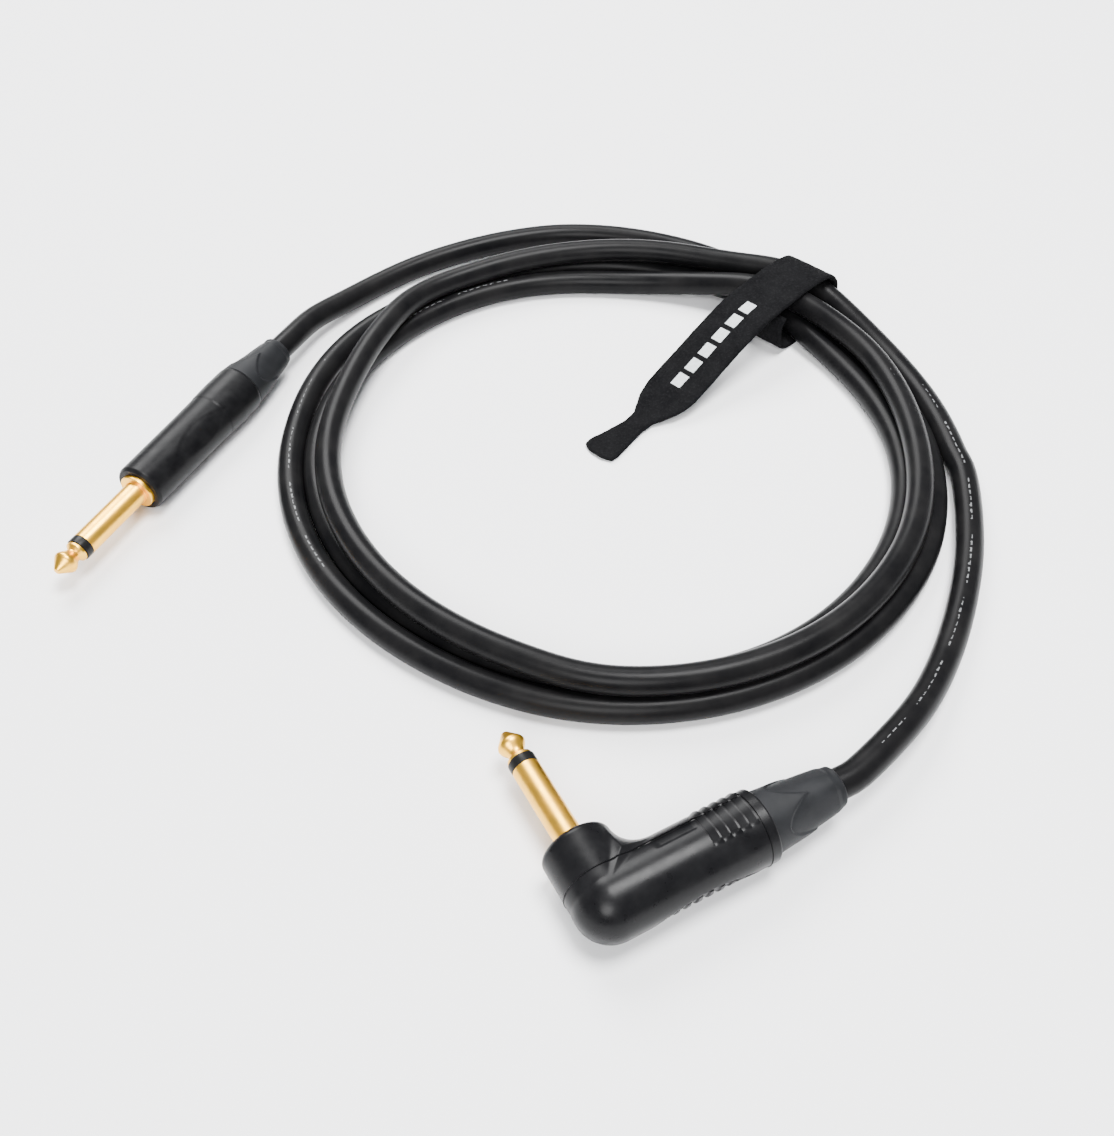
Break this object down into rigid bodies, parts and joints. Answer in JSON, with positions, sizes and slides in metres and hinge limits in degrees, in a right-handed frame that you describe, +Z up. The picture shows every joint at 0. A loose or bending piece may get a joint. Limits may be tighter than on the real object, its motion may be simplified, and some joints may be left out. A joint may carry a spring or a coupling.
{
  "type": "instrument cable",
  "caption": "Coiled screened audio cable with a straight and a right-angle 6.35 mm jack plug, kept in its coil by a hook-and-loop strap.",
  "frame": {"origin": "bottom centre of the box round the two plugs and the strap, on the surface that the cable lies on", "axes": "+Z up; the picture looks along +Y from above, with +X to its right"},
  "size_m": [0.2383, 0.2542, 0.016],
  "materials": {
    "gold_contact": "polished gold plate over brass",
    "black_shell": "satin black coating",
    "black_plastic": "moulded, slightly glossy",
    "grey_plastic": "moulded, matte",
    "white_plastic": "moulded or extruded, matte",
    "tinned_lug": "tinned, dull",
    "copper_wire": "bare twisted strands",
    "boot_rubber": "soft matte elastomer",
    "cable_jacket": "smooth satin PVC",
    "strap_fabric": "hook-and-loop tape, brushed loops"
  },
  "bodies": {
    "root": {"straight_tip": "gold_contact", "straight_tip_ring": "black_plastic", "straight_sleeve": "gold_contact", "straight_insulator": "white_plastic", "straight_tip_lug": "tinned_lug", "straight_ground_lug": "tinned_lug", "straight_shell": "black_shell", "straight_core": "white_plastic", "straight_shield": "copper_wire", "angle_tip": "gold_contact", "angle_tip_ring": "black_plastic", "angle_sleeve": "gold_contact", "angle_insulator": "white_plastic", "angle_tip_lug": "tinned_lug", "angle_ground_lug": "tinned_lug", "angle_housing": "black_shell", "angle_cover": "black_shell", "angle_core": "white_plastic", "angle_shield": "copper_wire", "cable_lead_straight": "cable_jacket", "cable_coil": "cable_jacket", "cable_lead_angle": "cable_jacket", "strap_loop": "strap_fabric"},
    "straight_slide": {"straight_chuck": "grey_plastic"},
    "straight_screw": {"straight_boot_ring": "black_plastic", "straight_boot": "boot_rubber"},
    "angle_slide": {"angle_chuck": "grey_plastic"},
    "angle_screw": {"angle_boot_ring": "black_plastic", "angle_boot": "boot_rubber"},
    "strap_end": {"strap_tail": "strap_fabric"}
  },
  "joints": [
    {"name": "straight_boot_travel", "type": "slide", "parent": "root", "child": "straight_slide", "axis": [0.454, 0.891, 0], "range_m": [0, 0.004]},
    {"name": "straight_boot_turn", "type": "hinge", "parent": "straight_slide", "child": "straight_screw", "pos_m": [-0.07182, 0.06005, 0.00725], "axis": [0.454, 0.891, 0], "range_deg": [0, 1440]},
    {"name": "angle_boot_travel", "type": "slide", "parent": "root", "child": "angle_slide", "axis": [0.891, 0.454, 0], "range_m": [0, 0.004]},
    {"name": "angle_boot_turn", "type": "hinge", "parent": "angle_slide", "child": "angle_screw", "pos_m": [0.05654, -0.08733, 0.008], "axis": [0.891, 0.454, 0], "range_deg": [0, 1440]},
    {"name": "strap_lift", "type": "hinge", "parent": "root", "child": "strap_end", "pos_m": [0.08069, 0.08447, 0.016], "axis": [-0.6947, 0.7193, 0], "range_deg": [0, 120]}
  ],
  "couplings": [
    {"joint": "straight_boot_turn", "follows": "straight_boot_travel", "rad_per_m": 6283.2},
    {"joint": "angle_boot_turn", "follows": "angle_boot_travel", "rad_per_m": 6283.2}
  ]
}
